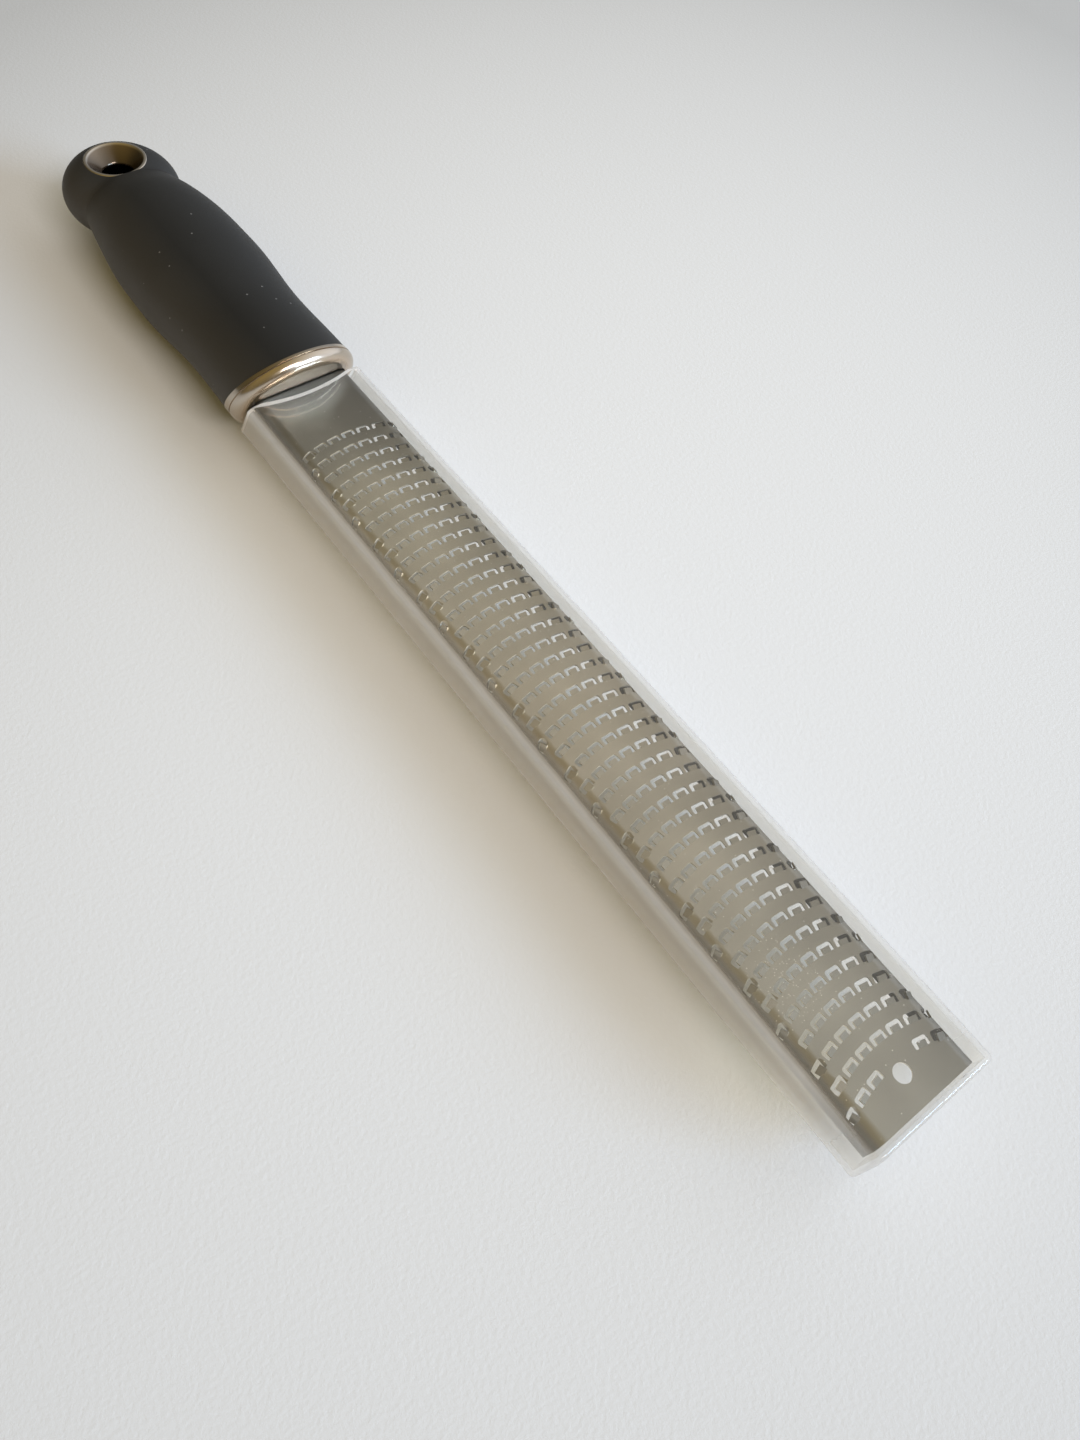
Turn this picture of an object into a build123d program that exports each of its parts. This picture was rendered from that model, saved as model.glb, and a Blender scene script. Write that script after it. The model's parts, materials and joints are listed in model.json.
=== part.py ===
from build123d import *
import os
from math import atan, cos, degrees, radians, sin, tan

# A rasp zester: a punched and bent steel blade whose tang is held between the two halves of a hard
# core, a plated bolster, a soft rubber grip with a funnel-shaped hang eye, and a clear slip-on cover.
# The tool lies along X with its closed cover tip at +X. The handle axis runs at half its thickness.

# Lengths of the whole tool, measured from the grip's front seam on the handle axis
handle_length = 109.6
front_length = 224.0

# Grip and its rounded end knob
grip_width = 37.4
grip_thickness = 30.0
rubber_thickness = 2.2
knob_radius = 16.4
knob_thickness = 22.0
seam_lean = 31.0
neck_round = 4.0

# Bolster: leaning ring between the grip and the blade
bolster_length = 5.8
bolster_wall = 2.4
bolster_proud = 0.15
front_lean = 27.0
face_round = 2.6
slot_gap = 0.35
groove_back = 2.9
groove_width = 0.4
groove_depth = 0.25

# Blade: one strip of steel bent into a channel, with a narrow flat tang
sheet = 0.4
blade_width = 26.2
blade_height = 7.7
blade_rise = 3.6
bend_radius = 2.5
heel_length = 7.0
tang_length = 62.0
tang_width = 17.0
tang_gap = 0.1
tip_hole_radius = 1.88
tip_hole_back = 6.3

# Teeth: arched rows of windows, each with a tongue that rises towards the handle
row_pitch = 4.507
bare_tip = 9.8
bare_heel = 21.6
tooth_pitch = 4.1
row_arch_radius = 36.5
tooth_reach = 13.4
window_length = 1.9
window_width = 3.4
window_round = 0.62
tongue_gap = 0.8
tongue_tilt = 13.0
hole_margin = 1.3
row_shift_shares = [-0.25, 0.25, 0.0, 0.5]

# Pins through the core halves and the tang
pin_radius = 2.0
pin_gap = 0.05
pin_length = 20.0
pin_front_back = 22.0
pin_spacing = 28.0

# Hang eye: two plated funnels that meet inside the knob
eye_hole_radius = 4.1
eye_rim_radius = 8.7
eye_wall = 0.9
eye_rim_height = 9.5
funnel_depth = 3.9
funnel_round = 1.2
rim_round = 0.4

# Cover: clear sleeve, closed at the tip, with a leaning rim and a thumb notch
cover_width = 31.7
cover_height = 15.2
cover_wall = 1.1
cover_round = 2.5
tip_gap = 0.7
tip_round = 1.1
cover_drop = 9.7
rim_gap = 1.7
rim_lean = 30.0
notch_width = 24.0
notch_depth = 1.75

# Room added to cutting shapes so that they pass clean through
overrun = 5.0

# Places along X and Z that follow from the sizes above
tool_length = handle_length + front_length
end_x = -tool_length / 2
seam_x = end_x + handle_length
cover_tip_x = end_x + tool_length
eye_x = end_x + knob_radius
axis_z = grip_thickness / 2
front_x = seam_x + bolster_length
blade_tip_x = cover_tip_x - cover_wall - tip_gap
blade_top_z = axis_z + blade_rise
parting_z = blade_top_z - sheet
heel_x = seam_x - heel_length
cover_bottom_z = axis_z - cover_drop
cover_top_z = cover_bottom_z + cover_height
tip_hole_x = blade_tip_x - tip_hole_back

# Width and thickness of the grip body along its length, back from the seam
front_width_share = 0.925
front_thickness_share = 0.920
grip_station_shares = [
    (-0.250, front_width_share, front_thickness_share),
    (-0.130, front_width_share, front_thickness_share),
    (-0.010, front_width_share, front_thickness_share),
    (0.107, 0.917, 0.898),
    (0.236, 0.917, 0.896),
    (0.365, 0.968, 0.950),
    (0.493, 1.000, 0.992),
    (0.590, 0.990, 1.000),
    (0.690, 0.955, 0.975),
    (0.780, 0.890, 0.905),
    (0.850, 0.835, 0.790),
    (0.910, 0.775, 0.660),
    (0.970, 0.700, 0.550),
]


def leaning_plane(x, z, lean):
    """Plane across the tool through (x, 0, z) whose top leans forward, facing the tip."""
    tilt = radians(lean)
    return Plane(origin=(x, 0, z), x_dir=(0, 1, 0), z_dir=(cos(tilt), 0, -sin(tilt)))


def handle_form(inset):
    """Grip body and knob as one solid, drawn in from the outer skin by the inset."""
    knob_middle = Plane(origin=(eye_x, 0, axis_z), x_dir=(1, 0, 0), z_dir=(0, -1, 0))
    knob_back = handle_length - knob_radius
    with BuildPart() as form:
        for back_share, width_share, thickness_share in grip_station_shares:
            half_width = grip_width / 2 * width_share - inset
            half_thickness = grip_thickness / 2 * thickness_share - inset
            with BuildSketch(Plane.YZ.offset(seam_x - knob_back * back_share)):
                with Locations((0, axis_z)):
                    Ellipse(half_width, half_thickness)
        loft()
        with BuildSketch(knob_middle):
            with BuildLine():
                rise = knob_thickness / 2 - inset
                EllipticalCenterArc((0, 0), knob_radius - inset, rise, -90, arc_size=180)
                Line((0, rise), (0, -rise))
            make_face()
        revolve(axis=Axis((eye_x, 0, axis_z), (0, 0, 1)))
        curves = edges().filter_by(GeomType.BSPLINE)
        fillet(curves.filter_by_position(Axis.X, eye_x, eye_x + knob_radius), neck_round)
    return form.part


def channel_section(gap):
    """Bent section of the blade, thickened all round by the gap."""
    middle_z = blade_top_z - blade_height
    with Locations((0, middle_z)):
        RectangleRounded(blade_width + 2 * gap, 2 * (blade_height + gap), bend_radius + gap)
        inner_width = blade_width - 2 * (sheet + gap)
        inner_height = 2 * (blade_height - sheet - gap)
        RectangleRounded(inner_width, inner_height, bend_radius - sheet - gap, mode=Mode.SUBTRACT)
    with Locations((0, middle_z - gap)):
        lower_half = (Align.CENTER, Align.MAX)
        Rectangle(blade_width + overrun, blade_height + overrun, align=lower_half, mode=Mode.SUBTRACT)


def tooth_place(row_x, across):
    """Place on the sheet of a tooth, where across is measured over the bend; its X runs to the tip."""
    flat_half = blade_width / 2 - bend_radius
    bent = max(abs(across) - flat_half, 0)
    turn = bent / bend_radius
    side = 1 if across > 0 else -1
    y = side * (min(abs(across), flat_half) + bend_radius * sin(turn))
    z = blade_top_z - bend_radius * (1 - cos(turn))
    x = row_x + across**2 / (2 * row_arch_radius)
    tipped = Location((x, y, z)) * Location((0, 0, 0), (-side * degrees(turn), 0, 0))
    return tipped * Location((0, 0, 0), (0, 0, -degrees(atan(across / row_arch_radius))))


def tooth_places():
    """Every tooth, row by row from the tip, leaving out those that would meet the tip hole."""
    last_row_x = blade_tip_x - bare_tip
    first_row_x = front_x + bare_heel
    row_count = int((last_row_x - first_row_x) / row_pitch) + 1
    reach = int(tooth_reach / tooth_pitch) + 1
    places = []
    for row in range(row_count):
        row_x = last_row_x - row * row_pitch
        shift = row_shift_shares[row % len(row_shift_shares)]
        for step in range(-reach, reach + 1):
            across = (step + shift) * tooth_pitch
            x = row_x + window_length / 2
            clear = window_width / 2 + tip_hole_radius + hole_margin
            near_hole = abs(x - tip_hole_x) < clear and abs(across) < clear
            if abs(across) <= tooth_reach and not near_hole:
                places.append(tooth_place(row_x, across))
    return places


# One window through the sheet, rounded on the grip side
with BuildPart() as window_cutter:
    with BuildSketch(Plane.XY.offset(sheet)):
        with Locations((window_length / 2, 0)):
            Rectangle(window_length, window_width)
        fillet(vertices().group_by(Axis.X)[0], window_round)
    extrude(amount=-3 * sheet)

# One tongue, hinged at the window's tip side and bent up towards the grip
with BuildPart() as tongue:
    hinge = Location((window_length, 0, 0), (0, tongue_tilt, 0))
    with BuildSketch(hinge):
        with Locations((sheet, 0)):
            tongue_length = window_length - tongue_gap + sheet
            tongue_width = window_width - 2 * tongue_gap
            Rectangle(tongue_length, tongue_width, align=(Align.MAX, Align.CENTER))
    extrude(amount=-sheet)

# Blade: bent channel, flat tang with its two pin holes, tip hole, then the teeth
pin_places = [(seam_x - pin_front_back - step * pin_spacing, 0) for step in range(2)]
with BuildPart() as blade:
    with BuildSketch(Plane.YZ.offset(heel_x)):
        channel_section(0)
    extrude(amount=blade_tip_x - heel_x)
    with BuildSketch(Plane.XY.offset(parting_z)):
        with Locations((heel_x + bend_radius, 0)):
            Rectangle(tang_length + bend_radius, tang_width, align=(Align.MAX, Align.CENTER))
        fillet(vertices().group_by(Axis.X)[0], bend_radius)
    extrude(amount=sheet)
    with BuildSketch(Plane.XY.offset(parting_z)):
        with Locations((tip_hole_x, 0)):
            Circle(tip_hole_radius)
        with Locations(*pin_places):
            Circle(pin_radius)
    extrude(amount=sheet, mode=Mode.SUBTRACT)
    with Locations(*tooth_places()):
        add(window_cutter.part, mode=Mode.SUBTRACT, clean=False)
        add(tongue.part, clean=False)
blade.part.label = "blade"

# Room that the two funnels of the hang eye take up, their hole included
funnel_low = eye_rim_height - funnel_depth
sleeve_radius = eye_hole_radius + eye_wall
eye_middle = Plane(origin=(eye_x, 0, axis_z), x_dir=(1, 0, 0), z_dir=(0, -1, 0))
eye_axis = Axis((eye_x, 0, axis_z), (0, 0, 1))
with BuildPart() as eye_seat:
    with BuildSketch(eye_middle):
        with BuildLine():
            Polyline(
                (0, 0),
                (sleeve_radius, 0),
                (sleeve_radius, funnel_low - eye_wall / 2),
                (eye_rim_radius, eye_rim_height - eye_wall),
                (eye_rim_radius, eye_rim_height + overrun),
                (0, eye_rim_height + overrun),
                close=True,
            )
        make_face()
    revolve(axis=eye_axis)
    mirror(about=Plane.XY.offset(axis_z))

# Hard body under the rubber, solid, cut off behind the bolster's face
seam_plane = leaning_plane(seam_x, axis_z, seam_lean)
face_plane = leaning_plane(front_x, axis_z, front_lean)
with BuildPart() as core_blank:
    add(handle_form(rubber_thickness))
    split(bisect_by=face_plane.offset(-bolster_wall), keep=Keep.BOTTOM)

# Core with its slots for the blade's heel and tang, its blind pin holes and its hang eye
with BuildPart() as core:
    add(core_blank.part)
    with BuildSketch(Plane.YZ.offset(heel_x - tang_gap)):
        channel_section(tang_gap)
    extrude(amount=heel_length + bolster_length + overrun, mode=Mode.SUBTRACT)
    with BuildSketch(Plane.XY.offset(parting_z)):
        with Locations((heel_x + bend_radius, 0)):
            slot_length = tang_length + bend_radius + tang_gap
            Rectangle(slot_length, tang_width + 2 * tang_gap, align=(Align.MAX, Align.CENTER))
    extrude(amount=sheet + tang_gap, mode=Mode.SUBTRACT)
    with BuildSketch(Plane.XY.offset(axis_z - pin_length / 2 - pin_gap)):
        with Locations(*pin_places):
            Circle(pin_radius)
    extrude(amount=pin_length + 2 * pin_gap, mode=Mode.SUBTRACT)
    add(eye_seat.part, mode=Mode.SUBTRACT)

# Upper core half, above the tang's underside
with BuildPart() as core_top:
    add(core.part)
    split(bisect_by=Plane.XY.offset(parting_z), keep=Keep.TOP)
core_top.part.label = "core_top"

# Lower core half, which carries the blade's heel and the tang
with BuildPart() as core_bottom:
    add(core.part)
    split(bisect_by=Plane.XY.offset(parting_z), keep=Keep.BOTTOM)
core_bottom.part.label = "core_bottom"

# Two plain pins that pass through the tang and lock the core halves
with BuildPart() as tang_pins:
    with BuildSketch(Plane.XY.offset(axis_z - pin_length / 2)):
        with Locations(*pin_places):
            Circle(pin_radius - pin_gap)
    extrude(amount=pin_length)
tang_pins.part.label = "tang_pins"

# Soft rubber grip, moulded over the core
with BuildPart() as grip_sleeve:
    add(handle_form(0))
    split(bisect_by=seam_plane, keep=Keep.BOTTOM)
    add(handle_form(rubber_thickness), mode=Mode.SUBTRACT)
    add(eye_seat.part, mode=Mode.SUBTRACT)
grip_sleeve.part.label = "grip_sleeve"

# Bolster: plated ring with a leaning face, a fine groove round it and a slot for the blade
ring_half_width = grip_width / 2 * front_width_share + bolster_proud
ring_half_thickness = grip_thickness / 2 * front_thickness_share + bolster_proud
with BuildPart() as groove_cutter:
    with BuildSketch(Plane.YZ.offset(seam_x - grip_thickness)):
        with Locations((0, axis_z)):
            Ellipse(ring_half_width + overrun, ring_half_thickness + overrun)
            Ellipse(ring_half_width - groove_depth, ring_half_thickness - groove_depth, mode=Mode.SUBTRACT)
    extrude(amount=2 * grip_thickness)
    split(bisect_by=face_plane.offset(-groove_back), keep=Keep.BOTTOM)
    split(bisect_by=face_plane.offset(-groove_back - groove_width), keep=Keep.TOP)
with BuildPart() as bolster:
    with BuildSketch(Plane.YZ.offset(seam_x - grip_thickness)):
        with Locations((0, axis_z)):
            Ellipse(ring_half_width, ring_half_thickness)
    extrude(amount=2 * grip_thickness)
    split(bisect_by=seam_plane, keep=Keep.TOP)
    split(bisect_by=face_plane, keep=Keep.BOTTOM)
    fillet(faces().sort_by(Axis.X)[-1].edges(), face_round)
    add(groove_cutter.part, mode=Mode.SUBTRACT)
    add(core_blank.part, mode=Mode.SUBTRACT)
    with BuildSketch(Plane.YZ.offset(heel_x)):
        with Locations((0, blade_top_z - blade_height / 2)):
            Rectangle(blade_width + 2 * slot_gap, blade_height + 2 * slot_gap)
        fillet(vertices().group_by(Axis.Y)[-1], bend_radius + slot_gap)
    extrude(amount=heel_length + 2 * bolster_length, mode=Mode.SUBTRACT)
bolster.part.label = "bolster"

# Upper funnel of the hang eye: rim, cone and half of the hole's sleeve
with BuildPart() as eyelet_top:
    with BuildSketch(eye_middle):
        with BuildLine():
            Polyline(
                (eye_hole_radius, 0),
                (sleeve_radius, 0),
                (sleeve_radius, funnel_low - eye_wall / 2),
                (eye_rim_radius, eye_rim_height - eye_wall),
                (eye_rim_radius, eye_rim_height),
                (eye_rim_radius - eye_wall, eye_rim_height),
                (eye_hole_radius, funnel_low),
                close=True,
            )
        make_face()
        fillet(vertices().group_by(Axis.Y)[-1], rim_round)
        fillet(vertices().group_by(Axis.X)[0].sort_by(Axis.Y)[-1], funnel_round)
    revolve(axis=eye_axis)
eyelet_top.part.label = "eyelet_top"

# Lower funnel, the same piece turned over
with BuildPart() as eyelet_bottom:
    add(mirror(eyelet_top.part, about=Plane.XY.offset(axis_z), mode=Mode.PRIVATE))
eyelet_bottom.part.label = "eyelet_bottom"

# Cover: clear sleeve closed at the tip, with its rim leaning like the bolster and a thumb notch
cover_middle_z = cover_bottom_z + cover_height / 2
rim_plane = leaning_plane(front_x + rim_gap, axis_z, rim_lean)
rim_top_x = front_x + rim_gap + (cover_top_z - axis_z) * tan(radians(rim_lean))
notch_radius = (notch_width**2 / 4 + notch_depth**2) / (2 * notch_depth)
cover_start_x = front_x - cover_height
with BuildPart() as cover:
    with BuildSketch(Plane.YZ.offset(cover_start_x)):
        with Locations((0, cover_middle_z)):
            RectangleRounded(cover_width, cover_height, cover_round)
    extrude(amount=cover_tip_x - cover_start_x)
    fillet(faces().sort_by(Axis.X)[-1].edges(), tip_round)
    with BuildSketch(Plane.YZ.offset(cover_start_x)):
        with Locations((0, cover_middle_z)):
            inner_round = cover_round - cover_wall
            RectangleRounded(cover_width - 2 * cover_wall, cover_height - 2 * cover_wall, inner_round)
    extrude(amount=cover_tip_x - cover_wall - cover_start_x, mode=Mode.SUBTRACT)
    split(bisect_by=rim_plane, keep=Keep.TOP)
    with BuildSketch(Plane.XY.offset(cover_top_z - cover_round)):
        with Locations((rim_top_x + notch_depth - notch_radius, 0)):
            Circle(notch_radius)
    extrude(amount=cover_round + overrun, mode=Mode.SUBTRACT)
cover.part.label = "cover"

os.makedirs("parts", exist_ok=True)
export_step(blade.part, "parts/blade.step")
export_step(core_top.part, "parts/core_top.step")
export_step(core_bottom.part, "parts/core_bottom.step")
export_step(tang_pins.part, "parts/tang_pins.step")
export_step(grip_sleeve.part, "parts/grip_sleeve.step")
export_step(bolster.part, "parts/bolster.step")
export_step(eyelet_top.part, "parts/eyelet_top.step")
export_step(eyelet_bottom.part, "parts/eyelet_bottom.step")
export_step(cover.part, "parts/cover.step")
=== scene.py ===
import json
import math

import bmesh
import bpy
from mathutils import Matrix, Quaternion, Vector


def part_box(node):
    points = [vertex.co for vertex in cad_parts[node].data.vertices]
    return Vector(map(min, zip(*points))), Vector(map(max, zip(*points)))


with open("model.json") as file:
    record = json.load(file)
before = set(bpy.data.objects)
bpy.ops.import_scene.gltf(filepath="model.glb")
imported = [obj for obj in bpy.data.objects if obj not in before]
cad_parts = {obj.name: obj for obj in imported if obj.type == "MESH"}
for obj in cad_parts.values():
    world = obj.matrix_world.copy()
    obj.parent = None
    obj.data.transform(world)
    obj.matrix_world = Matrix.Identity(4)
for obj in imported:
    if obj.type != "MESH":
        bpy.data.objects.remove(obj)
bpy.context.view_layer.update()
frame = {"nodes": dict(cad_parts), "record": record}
nodes = frame["nodes"]
scene = bpy.context.scene
scene.view_settings.view_transform = "Standard"


# The viewpoint: a phone held over the table near the tip, looking back along the tool.
# A wide lens makes the tip large and the grip small. The lens is set for an upright picture.
phone_place = (0.147371, -0.094501, 0.205714)
phone_turn = (0.853152, 0.267594, 0.083280, 0.439988)
nearest_seen = 0.01
camera_data = bpy.data.cameras.new("camera")
camera_data.sensor_fit = "AUTO"
camera_data.sensor_width = 36
camera_data.lens = 26.674
camera_data.clip_start = nearest_seen
camera_data.dof.use_dof = False
camera = bpy.data.objects.new("camera", camera_data)
camera.location = phone_place
camera.rotation_mode = "QUATERNION"
camera.rotation_quaternion = Quaternion(phone_turn)
scene.collection.objects.link(camera)
scene.camera = camera


# The table: a sheet of matt drawing paper, larger than the picture, with a fine tooth.
# Painted shade greys it towards the picture's corners, in an oval whose middle lies beside the tool.
# The helpers that make a material and its nodes are defined here, where they are first needed.
def set_inputs(tree, node, inputs):
    """Gives each input, by name or number, a value or another node's output. Colours have three parts."""
    for name, value in inputs.items():
        socket = node.inputs[name]
        if isinstance(value, bpy.types.NodeSocket):
            tree.links.new(value, socket)
        elif socket.type == "RGBA":
            socket.default_value = (*value, 1.0)
        else:
            socket.default_value = value


def add_node(tree, kind, settings, inputs):
    """Adds a node of that kind, with its settings and its inputs, and returns its outputs."""
    node = tree.nodes.new("ShaderNode" + kind)
    for name, value in settings.items():
        setattr(node, name, value)
    set_inputs(tree, node, inputs)
    return node.outputs


def calculate(tree, operation, *values):
    """One step of arithmetic on numbers."""
    return add_node(tree, "Math", {"operation": operation}, dict(enumerate(values)))[0]


def vector_math(tree, operation, inputs):
    """One step of arithmetic on vectors or colours; its Vector and its Value."""
    return add_node(tree, "VectorMath", {"operation": operation}, inputs)


def fade(tree, value, start=0.0, end=1.0, low=0.0, high=1.0, shape="LINEAR"):
    """Goes from low at start to high at end, and stays level outside them."""
    inputs = {"Value": value, "From Min": start, "From Max": end, "To Min": low, "To Max": high}
    return add_node(tree, "MapRange", {"interpolation_type": shape}, inputs)["Result"]


def blend(tree, share, first, second):
    """The first colour where the share is 0, and the second where it is 1."""
    inputs = {"Factor": share, 6: first, 7: second}
    return add_node(tree, "Mix", {"data_type": "RGBA"}, inputs)[2]


def noise(tree, place, scale, detail, roughness=0.5):
    """Soft random patches, so many to the metre, with values about 0.5."""
    inputs = {"Vector": place, "Scale": scale, "Detail": detail, "Roughness": roughness}
    return add_node(tree, "TexNoise", {}, inputs)["Fac"]


def bump(tree, height, strength, distance):
    """A normal that is tilted as if the pattern stood that distance, in metres, above the surface."""
    inputs = {"Height": height, "Strength": strength, "Distance": distance}
    return add_node(tree, "Bump", {}, inputs)["Normal"]


def new_material(name):
    """A new material, its node tree, its Principled shader, and the place on the object in metres."""
    material = bpy.data.materials.new(name)
    material.use_nodes = True
    tree = material.node_tree
    place = add_node(tree, "TexCoord", {}, {})["Object"]
    return material, tree, tree.nodes["Principled BSDF"], place


def paper_material():
    """Matt paper, pale in the middle of the oval, with painted shade that greys it with the square of the
    distance from it.
    """
    paper, tree, shader, place = new_material("drawing_paper")
    oval_middle = (-0.007, 0.063, 0.0)
    oval_turn = (0.0, 0.0, math.radians(-55.4))
    oval_half_sizes = (0.269, 0.210, 1.0)
    oval = {"Vector": place, "Location": oval_middle, "Rotation": oval_turn, "Scale": oval_half_sizes}
    inside = add_node(tree, "Mapping", {"vector_type": "TEXTURE"}, oval)["Vector"]
    distance = vector_math(tree, "LENGTH", {0: inside})["Value"]
    painted_shade_falloff = fade(tree, calculate(tree, "POWER", distance, 2.0), end=1.7)
    pale = (0.815, 0.82, 0.825)
    grey = (0.54, 0.545, 0.55)
    tooth = noise(tree, place, scale=900.0, detail=4.0, roughness=0.6)
    set_inputs(tree, shader, {
        "Base Color": blend(tree, painted_shade_falloff, pale, grey),
        "Roughness": 0.9,
        "Specular IOR Level": 0.25,
        "Normal": bump(tree, tooth, strength=0.25, distance=0.0003),
    })
    return paper


def square_mesh(name, half_side, material):
    """A flat square round the origin, on the table's plane."""
    build = bmesh.new()
    bmesh.ops.create_grid(build, x_segments=1, y_segments=1, size=half_side)
    mesh = bpy.data.meshes.new(name)
    build.to_mesh(mesh)
    build.free()
    mesh.materials.append(material)
    return mesh


table = bpy.data.objects.new("table", square_mesh("table", half_side=2.0, material=paper_material()))
scene.collection.objects.link(table)


# The light: a cool window low beyond the tip, a paler one higher up, and a room that is bluish on the
# far side of the tool, warm on the near side and overhead, and dim behind the grip.
# The shadow is wide, soft and beige.
def room_side(sky, heading, towards, colour):
    """The light of one side of the room, full straight towards that side and none from the opposite one."""
    softness = 0.7
    facing = vector_math(sky, "DOT_PRODUCT", {0: heading, 1: towards})["Value"]
    share = calculate(sky, "SMOOTH_MAX", facing, 0.0, softness)
    return vector_math(sky, "SCALE", {0: colour, "Scale": share})["Vector"]


def light_room():
    """A world of three sides, dimmed behind the grip, over a weak light from everywhere."""
    room = bpy.data.worlds.new("room")
    scene.world = room
    room.use_nodes = True
    sky = room.node_tree
    heading = add_node(sky, "TexCoord", {}, {})["Generated"]
    far_side = room_side(sky, heading, towards=(0.0, 1.0, 0.0), colour=(1.22, 1.31, 1.48))
    near_side = room_side(sky, heading, towards=(0.0, -1.0, 0.0), colour=(0.18, 0.14, 0.08))
    overhead = room_side(sky, heading, towards=(0.0, 0.0, 1.0), colour=(0.36, 0.26, 0.07))
    both_sides = vector_math(sky, "ADD", {0: far_side, 1: near_side})["Vector"]
    all_sides = vector_math(sky, "ADD", {0: both_sides, 1: overhead})["Vector"]
    along = add_node(sky, "SeparateXYZ", {}, {"Vector": heading})["X"]
    behind = fade(sky, along, start=-1.0, end=0.25, low=0.35, high=1.0, shape="SMOOTHSTEP")
    dimmed = vector_math(sky, "SCALE", {0: all_sides, "Scale": behind})["Vector"]
    everywhere = (0.03, 0.03, 0.02)
    lit = vector_math(sky, "ADD", {0: dimmed, 1: everywhere})["Vector"]
    set_inputs(sky, sky.nodes["Background"], {"Color": lit})


def add_window(name, place, width, height, power, colour):
    """A bright oblong that faces the origin, on the table under the middle of the tool."""
    light = bpy.data.lights.new(name, "AREA")
    light.shape = "RECTANGLE"
    light.size = width
    light.size_y = height
    light.energy = power
    light.color = colour
    lamp = bpy.data.objects.new(name, light)
    lamp.location = place
    lamp.rotation_euler = (-Vector(place)).to_track_quat("-Z", "Y").to_euler()
    scene.collection.objects.link(lamp)


light_room()
add_window("window", (2.49, 1.32, 1.03), width=1.5, height=0.8, power=86.0, colour=(0.54, 0.73, 0.98))
add_window("skylight", (2.36, 0.0, 1.85), width=1.2, height=0.7, power=40.0, colour=(1.0, 0.955, 0.97))


# The blade: one strip of stainless steel, punched, bent into a channel and left satin.
# Its grain runs along the tool. Dried crumbs lie between the teeth near the tip.
blade_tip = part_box("blade")[1].x
tip_hole = next(mount for mount in frame["record"]["mounts"] if mount["name"] == "tip_hole")
sheet = tip_hole["dims"]["length_mm"] / 1000
flat_top = tip_hole["pos_m"][2] + sheet / 2


def new_group(name, inputs, output):
    """An empty node group with those inputs and one number as its output; the group and its two ends."""
    group = bpy.data.node_groups.new(name, "ShaderNodeTree")
    for socket, kind in inputs.items():
        group.interface.new_socket(socket, in_out="INPUT", socket_type="NodeSocket" + kind)
    group.interface.new_socket(output, in_out="OUTPUT", socket_type="NodeSocketFloat")
    return group, group.nodes.new("NodeGroupInput").outputs, group.nodes.new("NodeGroupOutput")


def grain_group():
    """Fine scratches along X: a value about 0.5, for roughness and bump."""
    group, given, end = new_group("lengthwise_grain", {"Vector": "Vector", "Scale": "Float"}, "Value")
    drawn_out = (0.03, 1.0, 1.0)
    place = add_node(group, "Mapping", {}, {"Vector": given["Vector"], "Scale": drawn_out})["Vector"]
    set_inputs(group, end, {"Value": noise(group, place, given["Scale"], detail=3.0, roughness=0.7)})
    return group


lengthwise_grain = grain_group()


def speck_group():
    """Sparse small specks, such as crumbs and dust: a mask of 0 or 1."""
    inputs = {"Vector": "Vector", "Scale": "Float", "Size": "Float", "Share": "Float"}
    group, given, end = new_group("specks", inputs, "Mask")
    spread = {"Vector": given["Vector"], "Scale": given["Scale"]}
    cells = add_node(group, "TexVoronoi", {"feature": "F1"}, spread)
    draw = add_node(group, "SeparateColor", {}, {"Color": cells["Color"]})["Red"]
    near_middle = calculate(group, "LESS_THAN", cells["Distance"], given["Size"])
    chosen = calculate(group, "LESS_THAN", draw, given["Share"])
    set_inputs(group, end, {"Mask": calculate(group, "MULTIPLY", near_middle, chosen)})
    return group


specks = speck_group()


def parts_of(tree, vector):
    """The X, Y and Z of a vector."""
    return add_node(tree, "SeparateXYZ", {}, {"Vector": vector})


def facing_parts(tree):
    """The X, Y and Z of the direction that the surface faces."""
    return parts_of(tree, add_node(tree, "TexCoord", {}, {})["Normal"])


def multiply(tree, first, *others):
    """The product of two or more numbers."""
    for value in others:
        first = calculate(tree, "MULTIPLY", first, value)
    return first


def ramp(tree, value, stops):
    """The colours of the stops, each at its place between 0 and 1, with even changes between them."""
    outputs = add_node(tree, "ValToRGB", {}, {"Fac": value})
    elements = outputs[0].node.color_ramp.elements
    ends = (stops[0], stops[-1])
    for element, (position, colour) in zip(elements, ends):
        element.position = position
        element.color = (*colour, 1.0)
    for position, colour in stops[1:-1]:
        elements.new(position).color = (*colour, 1.0)
    return outputs["Color"]


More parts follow.
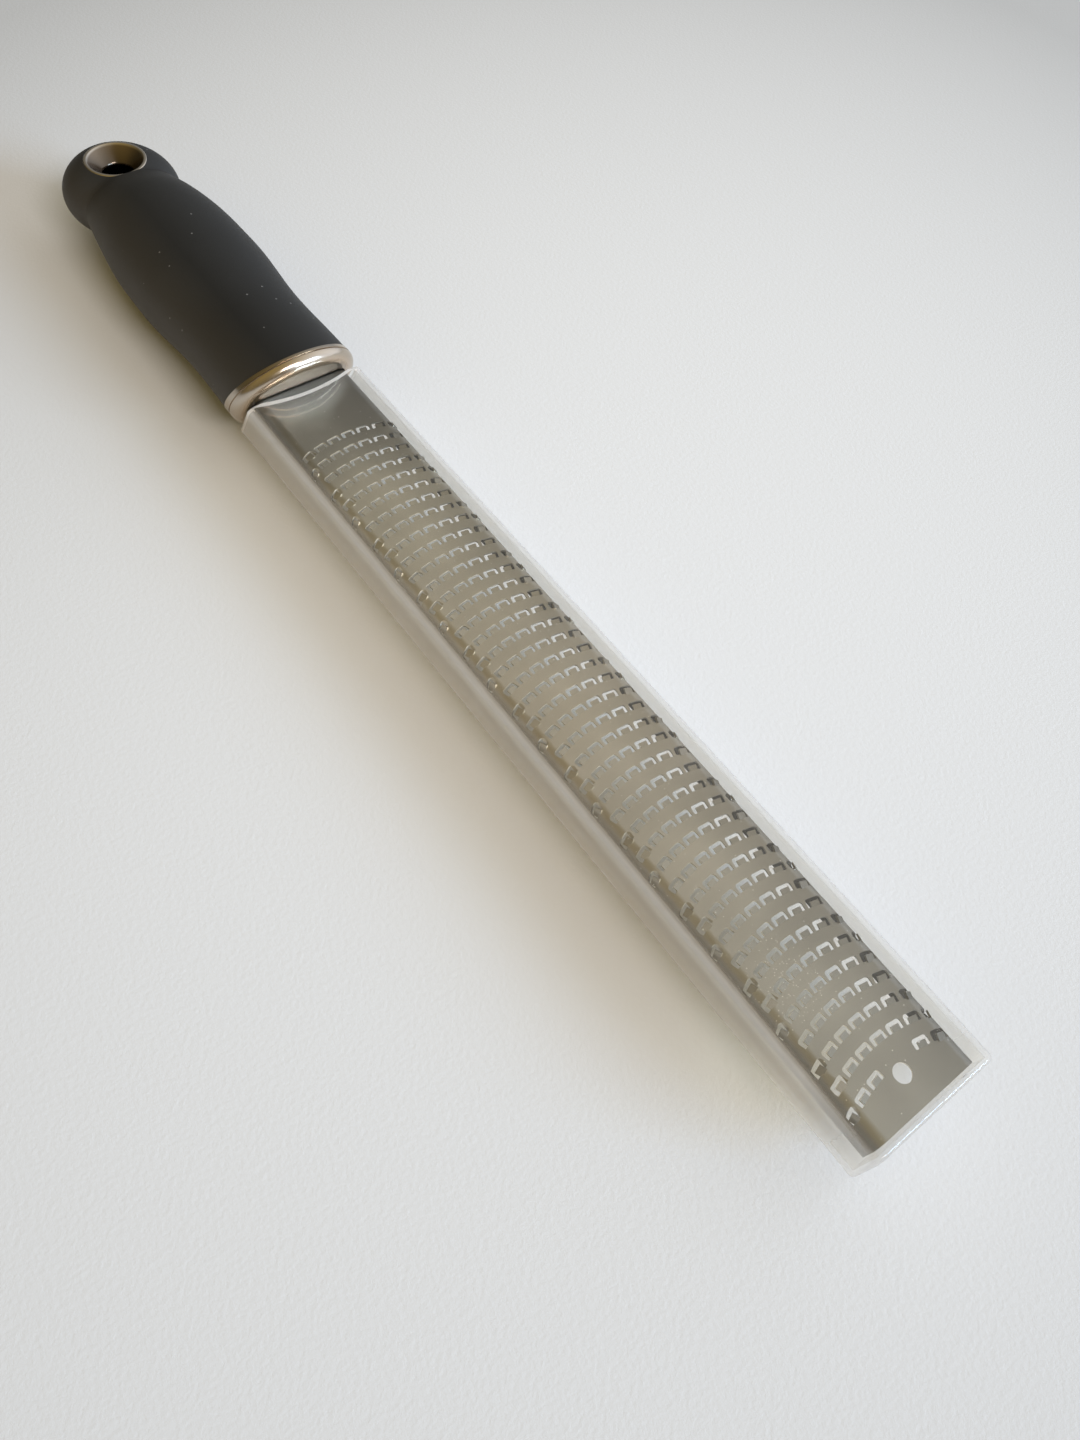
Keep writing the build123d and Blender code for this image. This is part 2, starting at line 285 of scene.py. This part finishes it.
def steel_tone(tree, place, facing):
    """Painted reflection and shade: dark near the bolster, warm in the middle, greyer at the tip, and
    darker towards the far side, down the bends and on the tongues' slopes; water marks vary it at random.
    """
    blade_seen = 0.220
    dark_depth = 0.0024
    light_depth = 0.0005
    stops = (
        (0.05, (0.25, 0.255, 0.25)),
        (0.12, (0.33, 0.33, 0.315)),
        (0.21, (0.68, 0.655, 0.585)),
        (0.55, (0.60, 0.56, 0.49)),
        (0.85, (0.40, 0.395, 0.375)),
        (1.0, (0.35, 0.355, 0.35)),
    )
    x, y, z = parts_of(tree, place)
    # Painted reflection: the tone along the blade stands in for what the steel mirrors, dark by the bolster
    # and greyer at the tip.
    tone = ramp(tree, fade(tree, x, start=blade_tip - blade_seen, end=blade_tip), stops)
    cloud = noise(tree, place, scale=60.0, detail=3.0)
    water_marks = fade(tree, cloud, start=0.3, end=0.7, low=0.9, high=1.08)
    # Painted shade: darker towards the far side, down the bends, and on the tongue slopes that face the
    # tip.
    across = fade(tree, y, start=-0.001, end=0.012, low=1.0, high=0.66)
    down_the_bend = fade(tree, z, start=flat_top - dark_depth, end=flat_top - light_depth, low=0.18)
    tongue_slopes = fade(tree, facing["X"], start=0.05, end=0.2, low=1.0, high=0.72)
    stains_and_painted_shade = multiply(tree, water_marks, across, down_the_bend, tongue_slopes)
    return vector_math(tree, "SCALE", {0: tone, "Scale": stains_and_painted_shade})["Vector"]


def sheared_share(tree, place, facing):
    """Where the painted highlight goes: 1 on the punched walls of the slots in the flat top, less on the
    far side, 0 elsewhere.
    """
    lowest_depth = 0.0010
    full_depth = 0.0006
    parts = parts_of(tree, place)
    steep = fade(tree, calculate(tree, "ABSOLUTE", facing["Z"]), start=0.55, end=0.35)
    on_top = fade(tree, parts["Z"], start=flat_top - lowest_depth, end=flat_top - full_depth)
    painted_glint_fade = fade(tree, parts["Y"], start=0.001, end=0.007, low=1.0, high=0.15)
    return multiply(tree, steep, on_top, painted_glint_fade)


def crumb_mask(tree, place):
    """Dried crumbs, crowded in one patch beside the left bend near the tip and sparse elsewhere."""
    behind_tip = 0.031
    beside_middle = -0.0055
    patch = (blade_tip - behind_tip, beside_middle, flat_top)
    distance = vector_math(tree, "DISTANCE", {0: place, 1: patch})["Value"]
    share = fade(tree, distance, start=0.002, end=0.011, low=0.26, high=0.012)
    inputs = {"Vector": place, "Scale": 2700.0, "Size": 0.27, "Share": share}
    return add_node(tree, "Group", {"node_tree": specks}, inputs)["Mask"]


def steel_material():
    """Satin steel with crumbs, a painted highlight on the sheared slot walls, and painted light on the
    underside.
    """
    steel, tree, shader, place = new_material("satin_steel")
    facing = facing_parts(tree)
    cut = sheared_share(tree, place, facing)
    crumbs = crumb_mask(tree, place)
    # Painted light: the underside is made pale, to brighten what shows through the slots.
    underside = fade(tree, facing["Z"], start=-0.5, end=-0.85)
    dusty = blend(tree, crumbs, steel_tone(tree, place, facing), (0.90, 0.90, 0.90))
    # Painted highlight: the slot walls are made pale cream, less so on the far side.
    edge_glints = blend(tree, cut, dusty, (0.96, 0.92, 0.84))
    fine = {"Vector": place, "Scale": 4000.0}
    grain = add_node(tree, "Group", {"node_tree": lengthwise_grain}, fine)["Value"]
    satin = fade(tree, grain, low=0.32, high=0.46)
    coarse = 0.6
    gritty = {"Factor": calculate(tree, "MAXIMUM", cut, crumbs), 2: satin, 3: coarse}
    set_inputs(tree, shader, {
        "Base Color": blend(tree, underside, edge_glints, (0.93, 0.90, 0.84)),
        "Metallic": 1.0,
        "Roughness": add_node(tree, "Mix", {"data_type": "FLOAT"}, gritty)[0],
        "Normal": bump(tree, grain, strength=0.12, distance=0.00005),
    })
    return steel


nodes["blade"].data.materials[0] = steel_material()


# The bolster: pressed metal with a bright warm plating, warmer on its leaning front face.
# Handling has left its gloss slightly uneven.
def uneven_roughness(tree, place, scale, detail, low, high):
    """Roughness that wanders in patches between two values, as tools and handling leave it."""
    return fade(tree, noise(tree, place, scale, detail), low=low, high=high)


def plating_material():
    """Bright plating over the whole ring, with a warmer tone on the faces turned to the tip."""
    plating, tree, shader, place = new_material("bright_plating")
    front = fade(tree, facing_parts(tree)["X"], start=0.75, end=0.98)
    set_inputs(tree, shader, {
        "Base Color": blend(tree, front, (0.51, 0.445, 0.37), (0.60, 0.49, 0.38)),
        "Metallic": 1.0,
        "Roughness": uneven_roughness(tree, place, scale=260.0, detail=4.0, low=0.14, high=0.28),
    })
    return plating


nodes["bolster"].data.materials[0] = plating_material()


# The hang eye's two funnels: pressed metal in a darker nickel than the bolster's plating.
# A painted highlight lightens the rim, and painted shade darkens it down the hole, where the metal looks
# nearly black.
def nickel_material():
    """Dark nickel, with a painted highlight on the rim and painted shade down the hole, set by the height
    above or below the middle of the hole.
    """
    nickel, tree, shader, place = new_material("dark_nickel")
    axis_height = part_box("eyelet_top")[0].z
    rim_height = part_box("eyelet_top")[1].z - axis_height
    funnel_depth = 0.005
    stops = (
        (0.0, (0.025, 0.022, 0.019)),
        (0.25, (0.10, 0.082, 0.064)),
        (0.90, (0.19, 0.155, 0.12)),
        (1.0, (0.58, 0.53, 0.47)),
    )
    level = calculate(tree, "SUBTRACT", parts_of(tree, place)["Z"], axis_height)
    from_middle = calculate(tree, "ABSOLUTE", level)
    towards_rim = fade(tree, from_middle, start=rim_height - funnel_depth, end=rim_height)
    set_inputs(tree, shader, {
        "Base Color": ramp(tree, towards_rim, stops),
        "Metallic": 1.0,
        "Roughness": uneven_roughness(tree, place, scale=300.0, detail=4.0, low=0.12, high=0.28),
    })
    return nickel


nickel = nickel_material()
nodes["eyelet_top"].data.materials[0] = nickel
nodes["eyelet_bottom"].data.materials[0] = nickel


# The core: a hard black moulding in two halves that hold the blade's tang.
# It hardly shows, only round the blade behind the bolster's slot.
def core_material():
    """Plain hard plastic as it leaves the mould."""
    hard_black, tree, shader, place = new_material("hard_black_plastic")
    set_inputs(tree, shader, {
        "Base Color": (0.012, 0.012, 0.013),
        "Roughness": uneven_roughness(tree, place, scale=700.0, detail=2.0, low=0.45, high=0.6),
    })
    return hard_black


hard_black = core_material()
nodes["core_top"].data.materials[0] = hard_black
nodes["core_bottom"].data.materials[0] = hard_black


# The two pins: turned steel, pressed through both halves of the core and the tang.
# The grip's rubber covers their ends.
def pin_material():
    """Plain steel with fine marks from turning."""
    pin_steel, tree, shader, place = new_material("turned_pin_steel")
    set_inputs(tree, shader, {
        "Base Color": (0.56, 0.56, 0.55),
        "Metallic": 1.0,
        "Roughness": uneven_roughness(tree, place, scale=1500.0, detail=2.0, low=0.25, high=0.45),
    })
    return pin_steel


nodes["tang_pins"].data.materials[0] = pin_material()


# The grip: soft black rubber moulded over the core, matt, with a faint grey bloom and lint.
# On its near side a painted sheen makes the black a little lighter.
def rubber_material():
    """Black rubber with a bloom in soft patches, fine pores, a few specks of lint and a painted sheen on
    its near side.
    """
    rubber, tree, shader, place = new_material("soft_black_rubber")
    bloom = noise(tree, place, scale=45.0, detail=5.0, roughness=0.6)
    near_side = fade(tree, facing_parts(tree)["Y"], start=-0.25, end=-0.95)
    lint_inputs = {"Vector": place, "Scale": 520.0, "Size": 0.13, "Share": 0.035}
    lint = add_node(tree, "Group", {"node_tree": specks}, lint_inputs)["Mask"]
    pores = noise(tree, place, scale=2600.0, detail=2.0)
    black = blend(tree, bloom, (0.011, 0.0112, 0.0110), (0.018, 0.018, 0.0175))
    # Painted sheen: the near side is made lighter grey.
    painted_sheen_side = blend(tree, near_side, black, (0.060, 0.055, 0.048))
    set_inputs(tree, shader, {
        "Base Color": blend(tree, lint, painted_sheen_side, (0.16, 0.155, 0.15)),
        "Roughness": fade(tree, bloom, low=0.5, high=0.66),
        "Specular IOR Level": 0.36,
        "Normal": bump(tree, pores, strength=0.25, distance=0.00008),
    })
    return rubber


nodes["grip_sleeve"].data.materials[0] = rubber_material()


# The cover: a clear plastic sleeve, moulded in one piece and slightly milky from use.
# Its upright walls look milkier than its top and its tip, and the cut rim at its mouth is made nearly
# white.
# The plastic doesn't bend light here: clear, milky and glossy layers are mixed instead.
def rim_mask(tree, place, facing):
    """1 on the cut rim of the mouth and on the narrow band of the side walls next to it, 0 elsewhere."""
    low_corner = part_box("cover")[0]
    lean = math.tan(math.radians(30.0))
    band_width = 0.00096
    band_end = low_corner.x - lean * low_corner.z + band_width
    tool_middle = 0.0
    least_endwise = 0.5
    most_flat = 0.75
    endwise = calculate(tree, "GREATER_THAN", calculate(tree, "ABSOLUTE", facing["X"]), least_endwise)
    mouth_half = calculate(tree, "LESS_THAN", parts_of(tree, place)["X"], tool_middle)
    leaning_x = vector_math(tree, "DOT_PRODUCT", {0: place, 1: (1.0, 0.0, -lean)})["Value"]
    next_to_rim = calculate(tree, "LESS_THAN", leaning_x, band_end)
    upright = calculate(tree, "LESS_THAN", calculate(tree, "ABSOLUTE", facing["Z"]), most_flat)
    rim = multiply(tree, endwise, mouth_half)
    band = multiply(tree, next_to_rim, upright)
    return calculate(tree, "MAXIMUM", rim, band)


def milkiness(tree, place, facing):
    """How milky the plastic is: most on upright walls and the rim, least on the top and near the tip."""
    rim_white = 0.85
    tip_length = 0.017
    x = parts_of(tree, place)["X"]
    flatness = calculate(tree, "ABSOLUTE", facing["Z"])
    wall_milk = fade(tree, flatness, start=0.55, end=0.98, low=0.46, high=0.02)
    clear_tip = fade(tree, x, start=blade_tip - tip_length, end=blade_tip, low=1.0, high=0.45)
    smears = noise(tree, place, scale=38.0, detail=5.0, roughness=0.6)
    smear = fade(tree, smears, start=0.5, end=0.8, high=0.05)
    haze = calculate(tree, "ADD", multiply(tree, wall_milk, clear_tip), smear)
    rim = multiply(tree, rim_mask(tree, place, facing), rim_white)
    return calculate(tree, "MAXIMUM", haze, rim)


def mirror_share(tree):
    """The share that a smooth surface mirrors: 4 in 100 seen straight on, all of it at a glancing angle."""
    slant = add_node(tree, "LayerWeight", {}, {"Blend": 0.5})["Facing"]
    return fade(tree, calculate(tree, "POWER", slant, 5.0), low=0.04)


def mix_shaders(tree, share, first, second):
    """The first shader where the share is 0, and the second where it is 1."""
    return add_node(tree, "MixShader", {}, {"Fac": share, 1: first, 2: second})["Shader"]


def clear_material():
    """Milk in the wall, a gloss on it, and a plain tint for the light that passes to the table."""
    clear, tree, shader, place = new_material("clear_plastic")
    set_inputs(tree, shader, {
        "Base Color": (0.975, 0.93, 0.905),
        "Roughness": 0.7,
        "Specular IOR Level": 0.0,
    })
    seen_through = add_node(tree, "BsdfTransparent", {}, {"Color": (0.985, 0.979, 0.962)})["BSDF"]
    lit_through = add_node(tree, "BsdfTransparent", {}, {"Color": (0.905, 0.87, 0.80)})["BSDF"]
    glow = add_node(tree, "BsdfTranslucent", {}, {"Color": (0.97, 0.94, 0.90)})["BSDF"]
    gloss = add_node(tree, "BsdfGlossy", {}, {"Roughness": 0.06})["BSDF"]
    milk = mix_shaders(tree, 0.5, shader.outputs["BSDF"], glow)
    body = mix_shaders(tree, milkiness(tree, place, facing_parts(tree)), seen_through, milk)
    skin = mix_shaders(tree, mirror_share(tree), body, gloss)
    shadow_ray = add_node(tree, "LightPath", {}, {})["Is Shadow Ray"]
    whole = mix_shaders(tree, shadow_ray, skin, lit_through)
    set_inputs(tree, tree.nodes["Material Output"], {"Surface": whole})
    return clear


nodes["cover"].data.materials[0] = clear_material()
